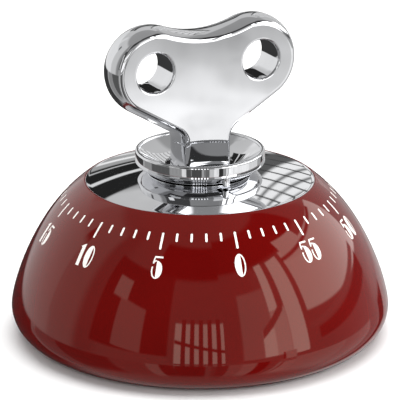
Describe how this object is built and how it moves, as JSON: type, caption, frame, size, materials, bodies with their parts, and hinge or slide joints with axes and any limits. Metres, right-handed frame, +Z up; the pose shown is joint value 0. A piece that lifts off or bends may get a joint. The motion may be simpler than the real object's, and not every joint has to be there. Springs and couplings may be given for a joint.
{
  "type": "kitchen timer",
  "caption": "Wind-up kitchen timer: round glossy body with a minute scale, chrome top plate, and a two-hole winding key standing on a cup that drives a clockwork movement and bell.",
  "frame": {"origin": "on the table, on the key's axis, which is the centre of the round body", "axes": "+Z up along the key's axis; the scale's 0 mark faces -Y; +X to the right of the 0 mark"},
  "size_m": [0.09, 0.09, 0.0767],
  "materials": {
    "red_gloss": "deep red high-gloss lacquer with a printed white minute scale",
    "chrome": "mirror-polished chrome plate",
    "black_plastic": "fine matte texture",
    "rubber": "matte black rubber",
    "brass": "brushed clock brass",
    "steel": "plain turned steel",
    "blued_steel": "blued spring steel",
    "nickel": "nickel-plated bell steel"
  },
  "bodies": {
    "case": {"dome_shell": "red_gloss", "top_plate": "chrome", "base_plate": "black_plastic", "foot_ring": "rubber", "base_screws": "steel", "movement_spacers": "steel", "movement_screws": "steel", "lower_plate": "brass", "upper_plate": "brass", "pillars": "brass", "pillar_nuts": "steel", "centre_bush": "brass", "centre_nut": "steel", "stop_post": "steel", "spring_post": "steel", "mainspring": "blued_steel", "hairspring": "blued_steel", "hairspring_stud": "steel", "bell_gong": "nickel", "bell_post": "brass", "bell_screw": "steel", "hammer_spring": "blued_steel"},
    "key": {"key_collar": "chrome", "winding_key": "chrome", "index_pin": "chrome", "key_pin": "steel", "main_arbor": "steel", "ratchet_wheel": "steel", "trip_cam": "brass", "stop_arm": "steel"},
    "great_wheel": {"great_wheel": "brass", "click_rivet": "steel", "click_spring": "blued_steel"},
    "click": {"click": "steel"},
    "second_arbor": {"second_wheel": "brass", "second_pinion": "steel"},
    "third_arbor": {"third_wheel": "brass", "third_pinion": "steel"},
    "escape_arbor": {"escape_wheel": "brass", "escape_pinion": "steel"},
    "lever": {"pallet_lever": "brass", "pallet_pins": "steel", "pallet_arbor": "steel"},
    "balance": {"balance_wheel": "brass", "balance_staff": "steel"},
    "hammer": {"bell_hammer": "steel", "hammer_arbor": "steel"}
  },
  "joints": [
    {"name": "key_turn", "type": "hinge", "parent": "case", "child": "key", "pos_m": [0, 0, 0.045], "axis": [0, 0, 1], "range_deg": [-340, 0], "deforming": ["mainspring"]},
    {"name": "great_wheel_turn", "type": "hinge", "parent": "case", "child": "great_wheel", "pos_m": [0, 0, 0.0097], "axis": [0, 0, 1], "range_deg": [-345, 5]},
    {"name": "second_arbor_turn", "type": "hinge", "parent": "case", "child": "second_arbor", "pos_m": [0.0144, 0, 0.015], "axis": [0, 0, 1], "range_deg": [-10, 2730]},
    {"name": "third_arbor_turn", "type": "hinge", "parent": "case", "child": "third_arbor", "pos_m": [0.01617, 0.01177, 0.015], "axis": [0, 0, 1], "range_deg": [-20410, 10]},
    {"name": "escape_arbor_turn", "type": "hinge", "parent": "case", "child": "escape_arbor", "pos_m": [0.00935, 0.0188, 0.017], "axis": [0, 0, 1], "range_deg": [-10, 122410]},
    {"name": "click_turn", "type": "hinge", "parent": "great_wheel", "child": "click", "pos_m": [-0.00797, 0.0046, 0.011], "axis": [0, 0, 1], "range_deg": [0, 8], "stiffness_Nm_per_rad": 0.000002, "springref_deg": -11.46, "deforming": ["click_spring"]},
    {"name": "lever_rock", "type": "hinge", "parent": "case", "child": "lever", "pos_m": [0.00449, 0.02122, 0.017], "axis": [0, 0, 1], "range_deg": [-4, 4]},
    {"name": "balance_swing", "type": "hinge", "parent": "case", "child": "balance", "pos_m": [-0.00351, 0.02122, 0.019], "axis": [0, 0, 1], "range_deg": [-150, 150], "stiffness_Nm_per_rad": 0.0000012, "deforming": ["hairspring"]},
    {"name": "hammer_swing", "type": "hinge", "parent": "case", "child": "hammer", "pos_m": [-0.00278, -0.01576, 0.02], "axis": [0, 0, 1], "range_deg": [0, 14], "stiffness_Nm_per_rad": 0.00002, "springref_deg": -17.19, "deforming": ["hammer_spring"]}
  ],
  "couplings": [
    {"joint": "great_wheel_turn", "follows": "key_turn", "ratio": 1},
    {"joint": "second_arbor_turn", "follows": "key_turn", "ratio": -8},
    {"joint": "third_arbor_turn", "follows": "key_turn", "ratio": 60},
    {"joint": "escape_arbor_turn", "follows": "key_turn", "ratio": -360}
  ]
}
